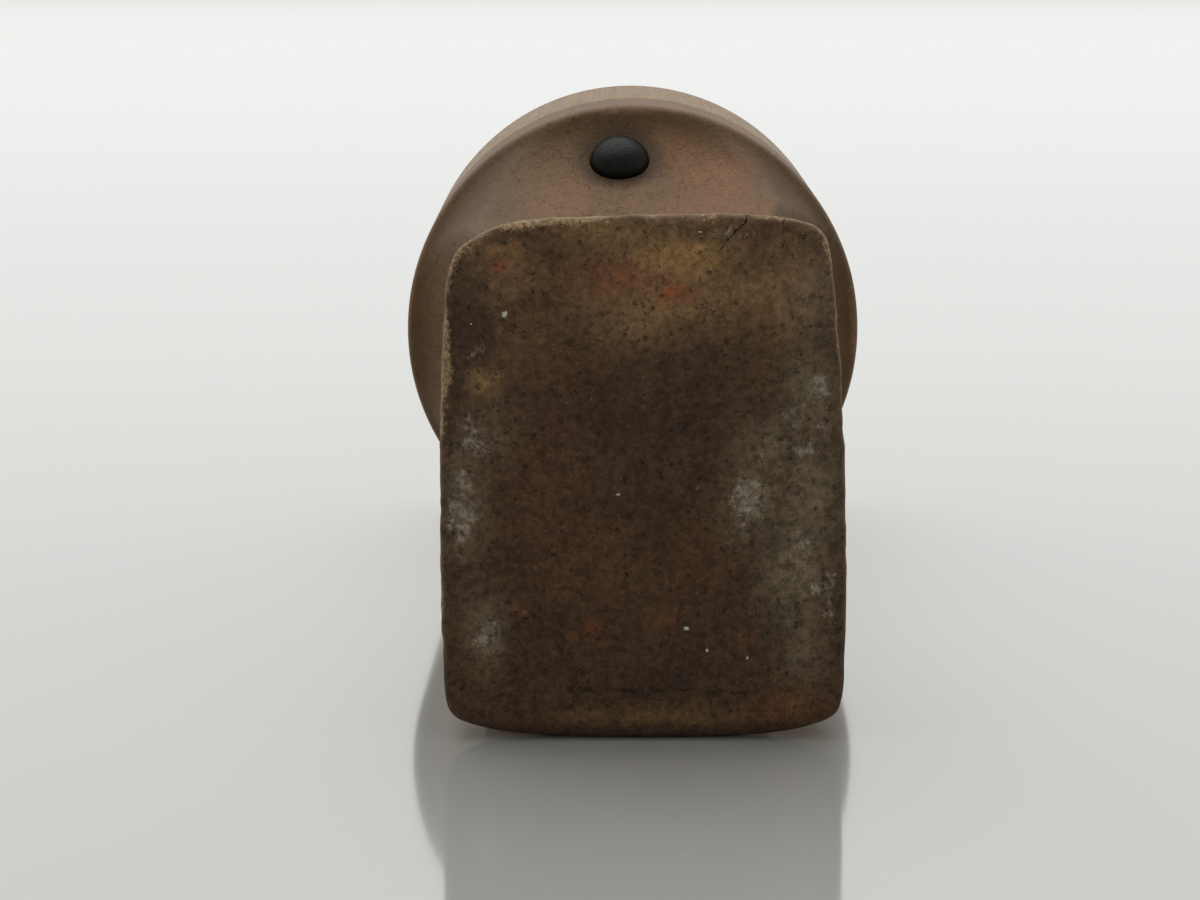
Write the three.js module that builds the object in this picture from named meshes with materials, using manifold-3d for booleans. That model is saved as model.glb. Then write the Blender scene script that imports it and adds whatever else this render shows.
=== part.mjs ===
// A round hanko seal with a carved wooden handle, lying on its side.
// It is modelled along its own axis first: y = 0 is the head end, +y runs to the
// carved face, and +z is the side that is up when the seal is held to print.
// The last lines lay it down on the plane z = 0. All sizes are in millimetres.
import * as THREE from 'three';
import { mergeVertices } from 'three/addons/utils/BufferGeometryUtils.js';
import Module from 'manifold-3d';

// Overall sizes
const sealDiameter = 18;
const gripLength = 27.2;
const collarLength = 3.4;
const dieThickness = 7.3;

// The turned blank that the handle is carved from: a little thicker at the head, it
// tapers to a cove that flares to the rim
const blankDiameterAtHead = 18.45;
const coveDiameter = 14.7;

// Head end of the handle
const headDepth = 16.1;
const headWidth = 12.2;
const topEdgeRadius = 0.35;
const bottomEdgeRadius = 0.8;
const sideEdgeRadius = 0.4;

// Waist of the handle: how far the deepest line of each scoop is from the axis
const waistTop = 4.5;
const waistBottom = 4.6;
const waistLeft = 5.6;
const waistRight = 4.9;
const waistPlace = 16;

// Shape of the scoops
const easingPull = 0.45;
const depthTaperDegrees = 13;
const sideTaperDegrees = 3;
const scoopOverrun = 0.4;

// Crowns across the scoops: the radius of each, and how far its highest line is from
// the middle of its side
const topCrownRadius = 60;
const topCrownAside = 1.2;
const bottomCrownRadius = 50;
const leftCrownRadius = 120;
const leftCrownDrop = 2;
const rightCrownRadius = 95;
const rightCrownDrop = 4.3;

// Depth of the two small flats that the seal lies on, worn into the rim and the head
const restingWear = 0.06;

// Turned spigot of the die, and its socket in the handle
const spigotDiameter = 8;
const spigotLength = 3.4;
const spigotClearance = 0.1;
const socketSpareDepth = 0.3;
const seamGap = 0.1;

// Peg that marks the upper side, drilled in at a slant
const pegDiameter = 2.2;
const pegLength = 2.4;
const pegDomeHeight = 0.6;
const pegStandOff = 0.1;
const pegAside = -0.55;
const pegBelowRim = 2;
const pegLeanDegrees = 39;
const pegClearance = 0.06;
const pegSpareDepth = 0.25;

// Carved face of the die
const faceEdgeRadius = 0.35;
const borderWidth = 0.9;
const carvingDepth = 0.8;
const bossDiameter = 2.4;
const petalCount = 6;
const petalWidth = 2.1;
const petalMargin = 0.7;

// Steps of the curved surfaces, and the width of the flat strips across a crown
const roundSteps = 144;
const easingSteps = 16;
const flareSteps = 16;
const edgeSteps = 5;
const pegSteps = 24;
const domeSteps = 6;
const petalSteps = 10;
const crownStripWidth = 0.8;

// Sizes that follow from those above
const rimRadius = sealDiameter / 2;
const seamPlace = gripLength + collarLength;
const dieStart = seamPlace + seamGap;
const facePlace = dieStart + dieThickness;
const headReach = headDepth / 2;
const pegRadius = pegDiameter / 2;
const spigotRadius = spigotDiameter / 2;
const bossRadius = bossDiameter / 2;
const quarterTurn = Math.PI / 2;

const wasm = await Module();
wasm.setup();

// Turns a closed three.js geometry into a solid that can be cut and joined
function solidOf(geometry) {
  const bare = geometry.clone();
  bare.deleteAttribute('normal');
  bare.deleteAttribute('uv');
  const merged = mergeVertices(bare, 1e-4);
  return new wasm.Manifold(new wasm.Mesh({
    numProp: 3,
    vertProperties: new Float32Array(merged.attributes.position.array),
    triVerts: new Uint32Array(merged.index.array),
  }));
}

// Turns a solid back into a geometry
function geometryOf(body) {
  const surface = body.getMesh();
  const geometry = new THREE.BufferGeometry();
  geometry.setAttribute('position', new THREE.BufferAttribute(surface.vertProperties, 3));
  geometry.setIndex(new THREE.BufferAttribute(surface.triVerts, 1));
  geometry.computeVertexNormals();
  return geometry;
}

// Points of a circular arc in a profile, without its first point
function arcPoints(centre, radius, from, to, steps) {
  const arc = new THREE.ArcCurve(centre.x, centre.y, radius, from, to, to < from);
  return arc.getPoints(steps).slice(1);
}

// A plain round bar about the axis, between two places on it
function roundBar(radius, start, end, steps) {
  const bar = new THREE.CylinderGeometry(radius, radius, end - start, steps);
  bar.translate(0, (start + end) / 2, 0);
  return bar;
}

// Points of a flare from just after the waist out to the rim. It is a quarter of an
// ellipse: it leaves the waist along the axis and meets the rim square to it.
function flarePoints(waistReach) {
  const flare = new THREE.EllipseCurve(
    rimRadius, waistPlace, rimRadius - waistReach, gripLength - waistPlace,
    Math.PI, quarterTurn, true,
  );
  return flare.getPoints(flareSteps).slice(1);
}

// One side of the handle in profile, as (distance from the axis, place along it):
// the edge of the head, a taper that eases into the waist, and the flare
function scoopProfile(side) {
  const taper = THREE.MathUtils.degToRad(side.taperDegrees);
  const edgeCentre = new THREE.Vector2(side.head - side.edgeRadius, side.edgeRadius);
  const shoulder = new THREE.Vector2(side.head, side.edgeRadius);
  const pull = (waistPlace - shoulder.y) * easingPull;
  const easing = new THREE.CubicBezierCurve(
    shoulder,
    new THREE.Vector2(shoulder.x - pull * Math.tan(taper), shoulder.y + pull),
    new THREE.Vector2(side.waist, waistPlace - pull),
    new THREE.Vector2(side.waist, waistPlace),
  );
  return [
    new THREE.Vector2(edgeCentre.x, 0),
    ...arcPoints(edgeCentre, side.edgeRadius, -quarterTurn, 0, edgeSteps),
    ...easing.getPoints(easingSteps).slice(1),
    ...flarePoints(side.waist),
    new THREE.Vector2(rimRadius + scoopOverrun, gripLength),
    new THREE.Vector2(rimRadius + scoopOverrun, seamPlace),
  ];
}

// What one scoop leaves of the blank: a body turned about a line far behind the
// seal's axis, so that the scooped side is slightly crowned across
function crownedBody(side) {
  const offset = side.crownRadius - side.head;
  const strips = Math.round(2 * Math.PI * side.crownRadius / crownStripWidth);
  const points = scoopProfile(side).map((point) => new THREE.Vector2(point.x + offset, point.y));
  const body = new THREE.LatheGeometry(
    [new THREE.Vector2(0, 0), ...points, new THREE.Vector2(0, seamPlace)],
    strips,
  );
  body.translate(-offset, 0, 0);
  body.rotateY(-side.facing);
  body.translate(side.crownAside, 0, -side.crownDrop);
  return solidOf(body);
}

const scoopedSides = [
  {
    facing: quarterTurn,
    waist: waistTop,
    edgeRadius: topEdgeRadius,
    crownRadius: topCrownRadius,
    crownAside: topCrownAside,
  },
  {
    facing: -quarterTurn,
    waist: waistBottom,
    edgeRadius: bottomEdgeRadius,
    crownRadius: bottomCrownRadius,
    crownAside: 0,
  },
].map((side) => ({ ...side, head: headReach, taperDegrees: depthTaperDegrees, crownDrop: 0 }));

const scoopedFlanks = [
  { facing: Math.PI, waist: waistLeft, crownRadius: leftCrownRadius, crownDrop: leftCrownDrop },
  { facing: 0, waist: waistRight, crownRadius: rightCrownRadius, crownDrop: rightCrownDrop },
].map((side) => ({
  ...side,
  head: headWidth / 2,
  edgeRadius: sideEdgeRadius,
  taperDegrees: sideTaperDegrees,
  crownAside: 0,
}));

// Gives a piece that is drawn upright about y the place and lean of the peg
function setOnFlare(target) {
  const left = pegBelowRim / (rimRadius - waistTop);
  const place = waistPlace + (gripLength - waistPlace) * Math.sqrt(1 - left * left);
  target.position.set(pegAside, place, rimRadius - pegBelowRim);
  target.rotation.x = quarterTurn + THREE.MathUtils.degToRad(pegLeanDegrees);
  target.updateMatrix();
  return target;
}

function pegHole() {
  const hole = roundBar(pegRadius + pegClearance, -pegLength - pegSpareDepth, pegDiameter, pegSteps);
  const place = setOnFlare(new THREE.Object3D());
  return solidOf(hole.applyMatrix4(place.matrix));
}

// How far the axis leans when the seal lies on its rim and on the rounded lower edge
// of its head: the plane through the rim's lowest point that touches that edge
function restingLean() {
  const drop = rimRadius - (headReach - bottomEdgeRadius);
  const run = gripLength - bottomEdgeRadius;
  return Math.atan2(drop, run) - Math.asin(bottomEdgeRadius / Math.hypot(drop, run));
}

// Wears the handle flat where that plane touches it
function wornFlat(body) {
  const lean = restingLean();
  const rimHeight = gripLength * Math.sin(lean) - rimRadius * Math.cos(lean);
  return body.trimByPlane([0, Math.sin(lean), Math.cos(lean)], rimHeight + restingWear);
}

function handleGeometry() {
  const blank = new THREE.LatheGeometry([
    new THREE.Vector2(0, 0),
    new THREE.Vector2(blankDiameterAtHead / 2, 0),
    new THREE.Vector2(coveDiameter / 2, waistPlace),
    ...flarePoints(coveDiameter / 2),
    new THREE.Vector2(rimRadius, seamPlace),
    new THREE.Vector2(0, seamPlace),
  ], roundSteps);
  const socketBottom = dieStart - spigotLength - socketSpareDepth;
  const socket = roundBar(spigotRadius + spigotClearance, socketBottom, seamPlace + 1, roundSteps / 2);
  let body = solidOf(blank);
  for (const side of [...scoopedSides, ...scoopedFlanks]) {
    body = body.intersect(crownedBody(side));
  }
  body = body.subtract(solidOf(socket)).subtract(pegHole());
  return geometryOf(wornFlat(body));
}

// A pointed leaf between two equal arcs, lying along x and centred on the origin
function petalShape(length, width) {
  const arcRadius = (length * length + width * width) / (4 * width);
  const centreDrop = arcRadius - width / 2;
  const halfSweep = Math.asin(length / 2 / arcRadius);
  const shape = new THREE.Shape();
  shape.absarc(0, -centreDrop, arcRadius, quarterTurn + halfSweep, quarterTurn - halfSweep, true);
  shape.absarc(0, centreDrop, arcRadius, halfSweep - quarterTurn, -halfSweep - quarterTurn, true);
  return shape;
}

// The raised figure inside the border: a boss with a ring of petals round it
function raisedFigure(start, height) {
  const innerEnd = bossRadius + petalMargin;
  const outerEnd = rimRadius - borderWidth - petalMargin;
  const shape = petalShape(outerEnd - innerEnd, petalWidth);
  const leaf = new THREE.ExtrudeGeometry(shape, {
    depth: height, bevelEnabled: false, curveSegments: petalSteps,
  });
  leaf.rotateX(-quarterTurn);
  leaf.translate((innerEnd + outerEnd) / 2, start, 0);
  let figure = solidOf(roundBar(bossRadius, start, start + height, pegSteps));
  for (let index = 0; index < petalCount; index += 1) {
    figure = figure.add(solidOf(leaf));
    leaf.rotateY(2 * Math.PI / petalCount);
  }
  return figure;
}

function dieGeometry() {
  const edgeCentre = new THREE.Vector2(rimRadius - faceEdgeRadius, facePlace - faceEdgeRadius);
  const blank = new THREE.LatheGeometry([
    new THREE.Vector2(0, dieStart - spigotLength),
    new THREE.Vector2(spigotRadius, dieStart - spigotLength),
    new THREE.Vector2(spigotRadius, dieStart),
    new THREE.Vector2(rimRadius, dieStart),
    new THREE.Vector2(rimRadius, edgeCentre.y),
    ...arcPoints(edgeCentre, faceEdgeRadius, 0, quarterTurn, edgeSteps),
    new THREE.Vector2(0, facePlace),
  ], roundSteps);
  const floorPlace = facePlace - carvingDepth;
  const recess = solidOf(roundBar(rimRadius - borderWidth, floorPlace, facePlace + 1, roundSteps));
  const figure = raisedFigure(floorPlace - 1, carvingDepth + 3);
  return geometryOf(solidOf(blank).subtract(recess.subtract(figure)));
}

function pegGeometry() {
  const dome = new THREE.EllipseCurve(0, pegStandOff, pegRadius, pegDomeHeight, 0, quarterTurn);
  return new THREE.LatheGeometry([
    new THREE.Vector2(0, -pegLength),
    new THREE.Vector2(pegRadius, -pegLength),
    ...dome.getPoints(domeSteps).slice(0, -1),
    new THREE.Vector2(0, pegStandOff + pegDomeHeight),
  ], pegSteps);
}

function piece(name, geometry, colour, roughness) {
  const material = new THREE.MeshStandardMaterial({ color: colour, roughness, metalness: 0 });
  const mesh = new THREE.Mesh(geometry, material);
  mesh.name = name;
  return mesh;
}

const seal = new THREE.Group();
seal.add(piece('handle', handleGeometry(), 0x6b5039, 0.6));
seal.add(piece('seal_die', dieGeometry(), 0x8a6d4b, 0.5));
seal.add(setOnFlare(piece('orientation_peg', pegGeometry(), 0x1d2020, 0.3)));
seal.rotation.x = restingLean();

// Origin at the middle of the footprint, on the surface that the seal lies on
const part = new THREE.Group();
part.add(seal);
part.updateMatrixWorld(true);
const box = new THREE.Box3().setFromObject(part, true);
const middle = box.getCenter(new THREE.Vector3());
seal.position.set(-middle.x, -middle.y, -box.min.z);

export default part;
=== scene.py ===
"""An old hanko seal lying on a pale glossy table, seen from its head end.

The seal is drawn in its own frame, in millimetres: x to the right, y along the
axis from the head to the carved face, z up towards the peg. Each piece is then laid
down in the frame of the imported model, in metres.
"""
import math
from dataclasses import dataclass
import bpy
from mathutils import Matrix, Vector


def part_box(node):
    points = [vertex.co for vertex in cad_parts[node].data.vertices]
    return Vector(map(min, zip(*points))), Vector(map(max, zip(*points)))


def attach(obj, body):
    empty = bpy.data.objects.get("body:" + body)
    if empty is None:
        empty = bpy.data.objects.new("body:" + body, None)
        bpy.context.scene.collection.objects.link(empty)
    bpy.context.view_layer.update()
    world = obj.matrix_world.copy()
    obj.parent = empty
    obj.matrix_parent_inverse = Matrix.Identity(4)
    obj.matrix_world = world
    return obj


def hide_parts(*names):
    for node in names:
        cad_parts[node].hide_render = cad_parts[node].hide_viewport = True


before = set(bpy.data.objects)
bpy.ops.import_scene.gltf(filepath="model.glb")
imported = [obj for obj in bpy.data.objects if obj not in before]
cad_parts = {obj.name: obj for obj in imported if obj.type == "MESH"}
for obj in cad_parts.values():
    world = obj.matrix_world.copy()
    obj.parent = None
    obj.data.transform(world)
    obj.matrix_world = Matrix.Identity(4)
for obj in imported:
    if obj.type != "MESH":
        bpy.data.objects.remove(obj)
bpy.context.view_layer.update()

from types import SimpleNamespace

import bpy
import numpy as np
from mathutils import Matrix, Vector
from mathutils.geometry import delaunay_2d_cdt

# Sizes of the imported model
RIM = 9.0
GRIP = 27.2
SEAM = 30.6
DIE_START = 30.7
FACE = 38.0
HEAD_HALF_DEPTH = 8.05
HEAD_HALF_WIDTH = 6.1
BLANK_AT_HEAD = 9.225
COVE = 7.35
TOP_EDGE = 0.35
SIDE_EDGE = 0.4
BOTTOM_EDGE = 0.8
WAIST_PLACE = 16.0
WAIST_TOP = 4.5
EASING_PULL = 0.45
RESTING_WEAR = 0.06
SOCKET_RADIUS = 4.1
SOCKET_END = 27.0
SPIGOT_RADIUS = 4.0
SPIGOT_LENGTH = 3.4
PEG_RADIUS = 1.1
PEG_LENGTH = 2.4
PEG_DOME = 0.6
PEG_STAND_OFF = 0.1
PEG_ASIDE = -0.55
PEG_REACH = 7.0
PEG_LEAN = math.radians(39)
PEG_GAP = 0.06
BORDER = 0.9
CARVING = 0.8
BOSS = 1.2
PETALS = 6
PETAL_WIDTH = 2.1
PETAL_MARGIN = 0.7

# Wear and small roundings that only the visible pieces have
LOWER_CORNER = 0.28
WORN_CORNER = 0.25
WORN_CORNER_TURN = math.radians(126)
WORN_CORNER_SPREAD = math.radians(6)
WORN_CORNER_LENGTH = 3.5
SEAM_BEVEL = 0.12
SEAM_ROUND = 0.035
FACE_ROUND = 0.35
CUT_ROUND = 0.10
CUT_SLOPE = 0.08
SPIGOT_ROUND = 0.2
FIGURE_ROUND = 0.09
FIGURE_SLOPE = 0.10
FIGURE_ROOT = 0.3

# How finely the handle is drawn
ROUND = 400
CAP_STEP = 0.13
EDGE_ROWS = 9
BODY_ROWS = 180
COLLAR_ROWS = 18
TRIAL_STEPS = 900

# Where noise starts, away from the seal's axis, so that fine and coarse noise don't line
# up there
NOISE_START = (17.3, 5.9, 11.7)
LUMPS_START = 0.37

# Camera, from the perspective of the photograph
CAMERA_PLACE = (-0.00131, -0.09492, 0.02258)
CAMERA_PITCH = math.radians(10.12)
CAMERA_LENS = 78.2
CAMERA_SENSOR = 36


@dataclass
class Side:
    """A carved side of the handle, in millimetres and degrees."""

    face: tuple
    head: float
    waist: float
    taper: float
    edge: float
    crown: float
    middle: tuple


# The carved sides, from the right one round: the way each faces, its distance from the
# axis at the head and at the waist, its taper, the radius of its end edge, the radius of
# its crown, and where the crown's middle lies
SIDES = [
    Side((1, 0), HEAD_HALF_WIDTH, 4.9, taper=3, edge=SIDE_EDGE, crown=95, middle=(0, -4.3)),
    Side((0, 1), HEAD_HALF_DEPTH, WAIST_TOP, taper=13, edge=TOP_EDGE, crown=60, middle=(1.2, 0)),
    Side((-1, 0), HEAD_HALF_WIDTH, 5.6, taper=3, edge=SIDE_EDGE, crown=120, middle=(0, -2)),
    Side((0, -1), HEAD_HALF_DEPTH, 4.6, taper=13, edge=BOTTOM_EDGE, crown=50, middle=(0, 0)),
]


def resting_lean():
    """How far the axis leans when the seal lies on its rim and its head's lower edge."""
    drop = RIM - (HEAD_HALF_DEPTH - BOTTOM_EDGE)
    run = GRIP - BOTTOM_EDGE
    return math.atan2(drop, run) - math.asin(BOTTOM_EDGE / math.hypot(drop, run))


LEAN = resting_lean()


def head_place():
    """Where the centre of the head's end is, in millimetres."""
    height = RIM * math.cos(LEAN) - GRIP * math.sin(LEAN) - RESTING_WEAR
    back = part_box("handle")[0].y * 1000 + (HEAD_HALF_DEPTH - TOP_EDGE) * math.sin(LEAN)
    return Vector((0, back, height))


def seal_matrix():
    """From the seal's own frame in millimetres to the model's frame in metres."""
    turn = Matrix.Rotation(LEAN, 4, "X")
    return Matrix.Scale(0.001, 4) @ Matrix.Translation(head_place()) @ turn


def peg_matrix():
    """From the peg's own frame, upright about y, to the seal's frame."""
    left = (RIM - PEG_REACH) / (RIM - WAIST_TOP)
    along = WAIST_PLACE + (GRIP - WAIST_PLACE) * math.sqrt(1 - left**2)
    turn = Matrix.Rotation(math.pi / 2 + PEG_LEAN, 4, "X")
    return Matrix.Translation((PEG_ASIDE, along, PEG_REACH)) @ turn


# Numbers over many points at once


def smoothstep(low, high, values):
    t = np.clip((values - low) / (high - low), 0, 1)
    return t * t * (3 - 2 * t)


def lumps(points, size, seed):
    """Smooth noise from -1 to 1 at an array of points, with lumps of about this size."""
    spots = np.asarray(points, float) / size + LUMPS_START
    cell = np.floor(spots).astype(np.int64)
    ease = smoothstep(0, 1, spots - cell)
    total = np.zeros(spots.shape[:-1])
    for corner in np.ndindex(2, 2, 2):
        key = cell + np.array(corner)
        mixed = (
            key[..., 0] * 73856093
            ^ key[..., 1] * 19349663
            ^ key[..., 2] * 83492791
            ^ (seed + 1) * 40503
        )
        mixed = (mixed ^ (mixed >> 13)) * 1274126177
        value = ((mixed ^ (mixed >> 16)) & 0xFFFFF) / 0xFFFFF
        weight = np.where(np.array(corner) == 1, ease, 1 - ease).prod(axis=-1)
        total += weight * value
    return total * 2 - 1


def soft_min(a, b, blend):
    """The smaller of two, rounded over where they are nearly equal."""
    close = np.clip(blend - np.abs(a - b), 0, None) / blend
    return np.minimum(a, b) - close * close * blend / 4


# The handle


def flare(waist, along):
    """Distance from the axis of a flare, a quarter of an ellipse from waist to rim."""
    run = np.clip((along - WAIST_PLACE) / (GRIP - WAIST_PLACE), 0, 1)
    return RIM - (RIM - waist) * np.sqrt(1 - run**2)


def side_reach(side, along):
    """Distance of a side's deepest line from the axis, at places along it."""
    start = side.edge
    pull = (WAIST_PLACE - start) * EASING_PULL
    steep = math.tan(math.radians(side.taper))
    handles = np.array([
        (start, side.head),
        (start + pull, side.head - pull * steep),
        (WAIST_PLACE - pull, side.waist),
        (WAIST_PLACE, side.waist),
    ])
    t = np.linspace(0, 1, 200)[:, None]
    weights = np.hstack([(1 - t) ** 3, 3 * t * (1 - t) ** 2, 3 * t * t * (1 - t), t**3])
    curve = weights @ handles
    eased = np.interp(along, curve[:, 0], curve[:, 1])
    return np.where(along < WAIST_PLACE, eased, flare(side.waist, along))


def side_distance(side, along, turn):
    """Distance from the axis to a crowned side, in the directions given by turn."""
    offset = side.crown - side.head
    centre = [middle - offset * face for middle, face in zip(side.middle, side.face)]
    radius = side_reach(side, along) + offset
    across = np.cos(turn) * centre[0] + np.sin(turn) * centre[1]
    return across + np.sqrt(radius**2 - centre[0] ** 2 - centre[1] ** 2 + across**2)


def section(along, turn):
    """The handle's radius, and how near each place is to a ridge between two sides."""
    distances = [side_distance(side, along, turn) for side in SIDES]
    taper = BLANK_AT_HEAD + (COVE - BLANK_AT_HEAD) * along / WAIST_PLACE
    blank = np.where(along < WAIST_PLACE, taper, flare(COVE, along)) + np.zeros_like(turn)
    lower = smoothstep(-0.55, -0.8, np.sin(turn)) * (1 - smoothstep(2, 9, along))
    blank = blank + LOWER_CORNER * lower
    ordered = np.sort(np.array(distances + [blank]), axis=0)
    blend = 0.5 - 0.35 * smoothstep(2, 8, along) + 0.3 * lower
    radius = distances[0]
    for other in distances[1:] + [blank]:
        radius = soft_min(radius, other, blend)
    ridge = np.exp(-(((ordered[1] - ordered[0]) / 0.3) ** 2))
    return radius, ridge


def edge_radius(turn):
    """Radius of the head's worn end edge, which changes from side to side."""
    start = np.zeros_like(turn)
    distances = np.array([side_distance(side, start, turn) for side in SIDES])
    nearness = np.exp((distances.min(axis=0) - distances) / 0.35)
    radii = np.array([side.edge for side in SIDES])
    radius = (nearness * radii[:, None]).sum(axis=0) / nearness.sum(axis=0)
    ring = np.stack([np.cos(turn), np.sin(turn), np.zeros_like(turn)], axis=-1)
    uneven = 0.22 * (1 - smoothstep(-0.5, -0.8, np.sin(turn)))
    return radius * (1 + uneven * lumps(ring * 8, 0.9, 3))


def corner_wear(turn, along):
    """How much is worn off the upper left corner of the head."""
    across = (turn - WORN_CORNER_TURN) / WORN_CORNER_SPREAD
    return WORN_CORNER * np.exp(-(across**2) - (along / WORN_CORNER_LENGTH) ** 2)


def even_rows(along, radius, rows):
    """Picks rows at even distances along each of many profiles."""
    steps = np.hypot(np.diff(along, axis=0), np.diff(radius, axis=0))
    length = np.vstack([np.zeros(along.shape[1]), np.cumsum(steps, axis=0)])
    picked_along, picked_radius = [], []
    for column in range(along.shape[1]):
        wanted = np.linspace(0, length[-1, column], rows + 1)
        picked_along.append(np.interp(wanted, length[:, column], along[:, column]))
        picked_radius.append(np.interp(wanted, length[:, column], radius[:, column]))
    return np.array(picked_along).T, np.array(picked_radius).T


def handle_rows():
    """Rows of (place along the axis, radius) from the head's flat end to the seam."""
    turn = np.linspace(0, 2 * math.pi, ROUND, endpoint=False)
    edge = edge_radius(turn)
    bend = np.linspace(0, math.pi / 2, EDGE_ROWS + 1)[:, None]
    edge_along = edge * (1 - np.cos(bend))
    edge_radii = section(edge_along, turn + 0 * bend)[0] - edge * (1 - np.sin(bend))

    u = np.linspace(0, 1, TRIAL_STEPS)[:, None]
    trial_along = edge + (GRIP - edge) * (1 - (1 - u) ** 3)
    trial_radii = section(trial_along, turn + 0 * u)[0]
    body_along, body_radii = even_rows(trial_along, trial_radii, BODY_ROWS)

    collar = np.linspace(GRIP, SEAM - SEAM_BEVEL, COLLAR_ROWS + 1)[1:]
    ends = [(place, RIM) for place in collar]
    ends += [(SEAM - SEAM_ROUND, RIM - SEAM_ROUND), (SEAM, RIM - SEAM_BEVEL)]
    tail_along = np.array([place for place, _ in ends])[:, None] + 0 * turn
    tail_radii = np.array([radius for _, radius in ends])[:, None] + 0 * turn
    along = np.vstack([edge_along[:-1], body_along, tail_along])
    radius = np.vstack([edge_radii[:-1], body_radii, tail_radii])
    return turn, along, radius


def rounded_rim(along, radius):
    """Wears down the rim's edge by smoothing the profile a few times."""
    first = EDGE_ROWS + BODY_ROWS // 2
    for _ in range(3):
        for values in (along, radius):
            middle = values[first:-3]
            middle[1:-1] = (values[first:-5] + 2 * middle[1:-1] + values[first + 2 : -3]) / 4
    return along, radius


def cap_spots(turn, outline):
    """Directions and distances of points spread evenly over the flat of the head's end."""
    steps = np.arange(-RIM, RIM, CAP_STEP)
    x, z = np.meshgrid(steps, steps)
    x[::2] += CAP_STEP / 2
    angles = np.arctan2(z, x) % (2 * math.pi)
    reach = np.hypot(x, z)
    inside = reach < np.interp(angles, turn, outline, period=2 * math.pi) - CAP_STEP * 0.7
    return angles[inside], reach[inside]


def cap_faces(outline, inner, first_inner):
    """Triangles over the head's end, between its outline and the points inside it."""
    flat = [Vector(spot) for spot in np.vstack([outline, inner]).tolist()]
    count = len(outline)
    ring = [(index, (index + 1) % count) for index in range(count)]
    triangles = delaunay_2d_cdt(flat, ring, [], 1, 1e-6)[2]
    return [
        [index if index < count else index - count + first_inner for index in triangle]
        for triangle in triangles
    ]


def build_handle():
    turn, along, radius = handle_rows()
    along, radius = rounded_rim(along, radius)
    rows = len(along)
    cap = np.zeros(rows)
    cap[: EDGE_ROWS + 1] = np.linspace(1, 0, EDGE_ROWS + 1)
    inner_angles, inner_radius = cap_spots(turn, radius[0])
    angles = np.concatenate([(turn + 0 * along).ravel(), inner_angles])
    cap = np.concatenate([np.repeat(cap, ROUND), 1 + 0 * inner_angles])
    along = np.concatenate([along.ravel(), 0 * inner_angles])
    radius = np.concatenate([radius.ravel(), inner_radius])

    points, carved = worn_points(angles, along, radius, cap)
    ridge = section(np.clip(points[:, 1], 0, GRIP), angles)[1]
    marks = handle_marks(points, angles, cap, ridge, carved)

    tail = [(SEAM, SOCKET_RADIUS), (SOCKET_END, SOCKET_RADIUS)]
    rings = [
        np.stack([reach * np.cos(turn), place + 0 * turn, reach * np.sin(turn)], axis=-1)
        for place, reach in tail
    ]
    body = rows * ROUND
    vertices = np.vstack([points[:body], *rings, [(0, SOCKET_END, 0)], points[body:]])
    extra = len(tail) * ROUND + 1
    for name, values in marks.items():
        marks[name] = np.concatenate([values[:body], np.zeros(extra), values[body:]])
    flat = points[:, [0, 2]]
    faces = ring_faces(rows + len(tail), ROUND, closed=False)
    faces += cap_faces(flat[:ROUND], flat[body:], body + extra)
    return add_piece("handle_wood_body", vertices, faces, marks)


def worn_points(angles, along, radius, cap):
    """Points of the handle's surface with the unevenness of hand work and wear."""
    points = np.stack([radius * np.cos(angles), along, radius * np.sin(angles)], axis=-1)
    outline = section(np.zeros_like(angles), angles)[0]
    share = np.clip(radius / outline, 0, 1)
    carved = 1 - smoothstep(GRIP - 0.8, GRIP, along)
    wear = corner_wear(angles, along) * np.where(cap > 0, share, 1)
    under = smoothstep(-0.6, -0.9, np.sin(angles))
    unevenness = 0.022 * lumps(points, 2.4, 1) + 0.010 * lumps(points, 0.8, 2)
    chips = 0.04 * lumps(points, 0.6, 3) + 0.025 * lumps(points, 0.25, 4)
    chips = chips * np.exp(-((along / 0.6) ** 2)) * share**8
    radius = radius - wear - (unevenness * (1 - cap) + chips) * carved * (1 - 0.9 * under)
    hollows = 0.03 * (1 + lumps(points, 3.1, 5)) + 0.012 * (1 + lumps(points, 0.7, 6))
    along = along + hollows * cap
    return np.stack([radius * np.cos(angles), along, radius * np.sin(angles)], axis=-1), carved


def ring_faces(rings, around, closed=True):
    """Faces of a body of rings, facing outwards: from one end point to the other, or
    where it isn't closed from the first ring to a last end point."""
    first = 1 if closed else 0
    start = first + np.arange(rings - 1)[:, None] * around
    here = np.arange(around)[None, :]
    after = (here + 1) % around
    quads = np.stack(
        [start + here, start + around + here, start + around + after, start + after], axis=-1
    ).reshape(-1, 4)
    ring = np.arange(around)
    following = (ring + 1) % around
    base = first + (rings - 1) * around
    back = np.stack([base + following, base + ring, base + around + 0 * ring], axis=-1)
    front = np.stack([1 + ring, 1 + following, 0 * ring], axis=-1)
    return quads.tolist() + back.tolist() + (front.tolist() if closed else [])


def add_piece(name, vertices, faces, marks=None, matrix=None):
    """Makes an object of points in the seal's frame and lays it on the table."""
    place = seal_matrix() @ (matrix or Matrix.Identity(4))
    spots = np.c_[vertices, np.ones(len(vertices))] @ np.array(place).T
    spots = spots[:, :3]
    spots[:, 2] = np.maximum(spots[:, 2], 0)
    mesh = bpy.data.meshes.new(name)
    mesh.from_pydata(spots.tolist(), [], faces)
    mesh.polygons.foreach_set("use_smooth", [True] * len(mesh.polygons))
    for mark, values in (marks or {}).items():
        layer = mesh.attributes.new(mark, "FLOAT", "POINT")
        layer.data.foreach_set("value", np.asarray(values, np.float32))
    mesh.validate()
    mesh.update()
    piece = bpy.data.objects.new(name, mesh)
    bpy.context.scene.collection.objects.link(piece)
    return piece


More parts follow.
